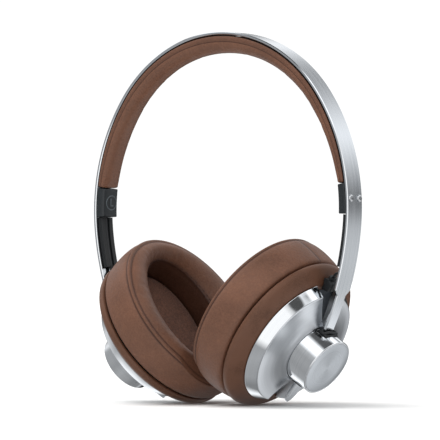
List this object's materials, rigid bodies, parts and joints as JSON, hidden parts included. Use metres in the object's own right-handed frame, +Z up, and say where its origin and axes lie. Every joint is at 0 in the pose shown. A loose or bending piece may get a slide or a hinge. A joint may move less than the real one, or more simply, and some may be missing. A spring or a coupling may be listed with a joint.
{
  "type": "over ear headphones",
  "caption": "Over ear headphones with a padded brushed metal band and round cushioned cups that slide, swivel and tilt on knobs.",
  "frame": {"origin": "centre of the bounding box at the level of the surface that the cups stand on", "axes": "+Z up towards the top of the band, +X to the wearer's right, +Y to the wearer's front"},
  "size_m": [0.1664, 0.0898, 0.1924],
  "materials": {
    "brushed_band": "brushed along the band, polished edges",
    "satin_disc": "satin face with a polished rim",
    "polished_wall": "polished",
    "spun_face": "spun, with a bright chamfer",
    "steel": "plated",
    "leather": "soft brown leatherette, sewn",
    "shell_coat": "brown soft coating",
    "baffle_cloth": "woven",
    "black_plastic": "moulded, satin",
    "rubber": "moulded rubber",
    "lead_jacket": "smooth jacket",
    "magnet": "plated",
    "driver_film": "thin film",
    "circuit_board": "solder mask",
    "battery_wrap": "foil wrap"
  },
  "bodies": {
    "headband": {"band_strip": "brushed_band", "pad_carrier": "black_plastic", "headband_pad": "leather", "band_lead": "lead_jacket", "end_block_R": "black_plastic", "lead_liner_R": "black_plastic", "block_screw_rear_R": "steel", "block_screw_front_R": "steel", "end_block_L": "black_plastic", "lead_liner_L": "black_plastic", "block_screw_rear_L": "steel", "block_screw_front_L": "steel"},
    "shoe_R": {"slider_shoe_R": "black_plastic"},
    "yoke_R": {"swivel_yoke_R": "steel"},
    "cup_R": {"ear_pad_R": "leather", "pad_plate_R": "black_plastic", "baffle_cloth_R": "baffle_cloth", "baffle_R": "black_plastic", "driver_diaphragm_R": "driver_film", "driver_frame_R": "black_plastic", "driver_magnet_R": "magnet", "cup_shell_R": "shell_coat", "housing_disc_R": "satin_disc", "knob_barrel_R": "polished_wall", "knob_cap_R": "spun_face", "slot_grommet_upper_R": "rubber", "slot_grommet_lower_R": "rubber", "pivot_bracket_R": "black_plastic", "strain_relief_R": "rubber", "cup_lead_R": "lead_jacket", "charging_socket": "steel", "circuit_board": "circuit_board"},
    "shoe_L": {"slider_shoe_L": "black_plastic"},
    "yoke_L": {"swivel_yoke_L": "steel"},
    "cup_L": {"ear_pad_L": "leather", "pad_plate_L": "black_plastic", "baffle_cloth_L": "baffle_cloth", "baffle_L": "black_plastic", "driver_diaphragm_L": "driver_film", "driver_frame_L": "black_plastic", "driver_magnet_L": "magnet", "cup_shell_L": "shell_coat", "housing_disc_L": "satin_disc", "knob_barrel_L": "polished_wall", "knob_cap_L": "spun_face", "slot_grommet_upper_L": "rubber", "slot_grommet_lower_L": "rubber", "pivot_bracket_L": "black_plastic", "strain_relief_L": "rubber", "cup_lead_L": "lead_jacket", "battery": "battery_wrap"}
  },
  "joints": [
    {"name": "height_R", "type": "hinge", "parent": "headband", "child": "shoe_R", "pos_m": [-0.06414, 0, 0.1056], "axis": [0, -1, 0], "range_deg": [0, 6.2], "deforming": ["cup_lead_R"]},
    {"name": "swivel_R", "type": "hinge", "parent": "shoe_R", "child": "yoke_R", "pos_m": [0.05814, 0, 0.02436], "axis": [0.5534, 0, 0.8329], "range_deg": [-6, 6]},
    {"name": "tilt_R", "type": "hinge", "parent": "yoke_R", "child": "cup_R", "pos_m": [0.05814, 0, 0.02436], "axis": [0, -1, 0], "range_deg": [-1, 6], "deforming": ["slot_grommet_upper_R", "slot_grommet_lower_R"]},
    {"name": "height_L", "type": "hinge", "parent": "headband", "child": "shoe_L", "pos_m": [0.06414, 0, 0.1056], "axis": [0, 1, 0], "range_deg": [0, 6.2], "deforming": ["cup_lead_L"]},
    {"name": "swivel_L", "type": "hinge", "parent": "shoe_L", "child": "yoke_L", "pos_m": [-0.05814, 0, 0.02436], "axis": [-0.5534, 0, 0.8329], "range_deg": [-6, 6]},
    {"name": "tilt_L", "type": "hinge", "parent": "yoke_L", "child": "cup_L", "pos_m": [-0.05814, 0, 0.02436], "axis": [0, 1, 0], "range_deg": [-1, 6], "deforming": ["slot_grommet_upper_L", "slot_grommet_lower_L"]}
  ]
}
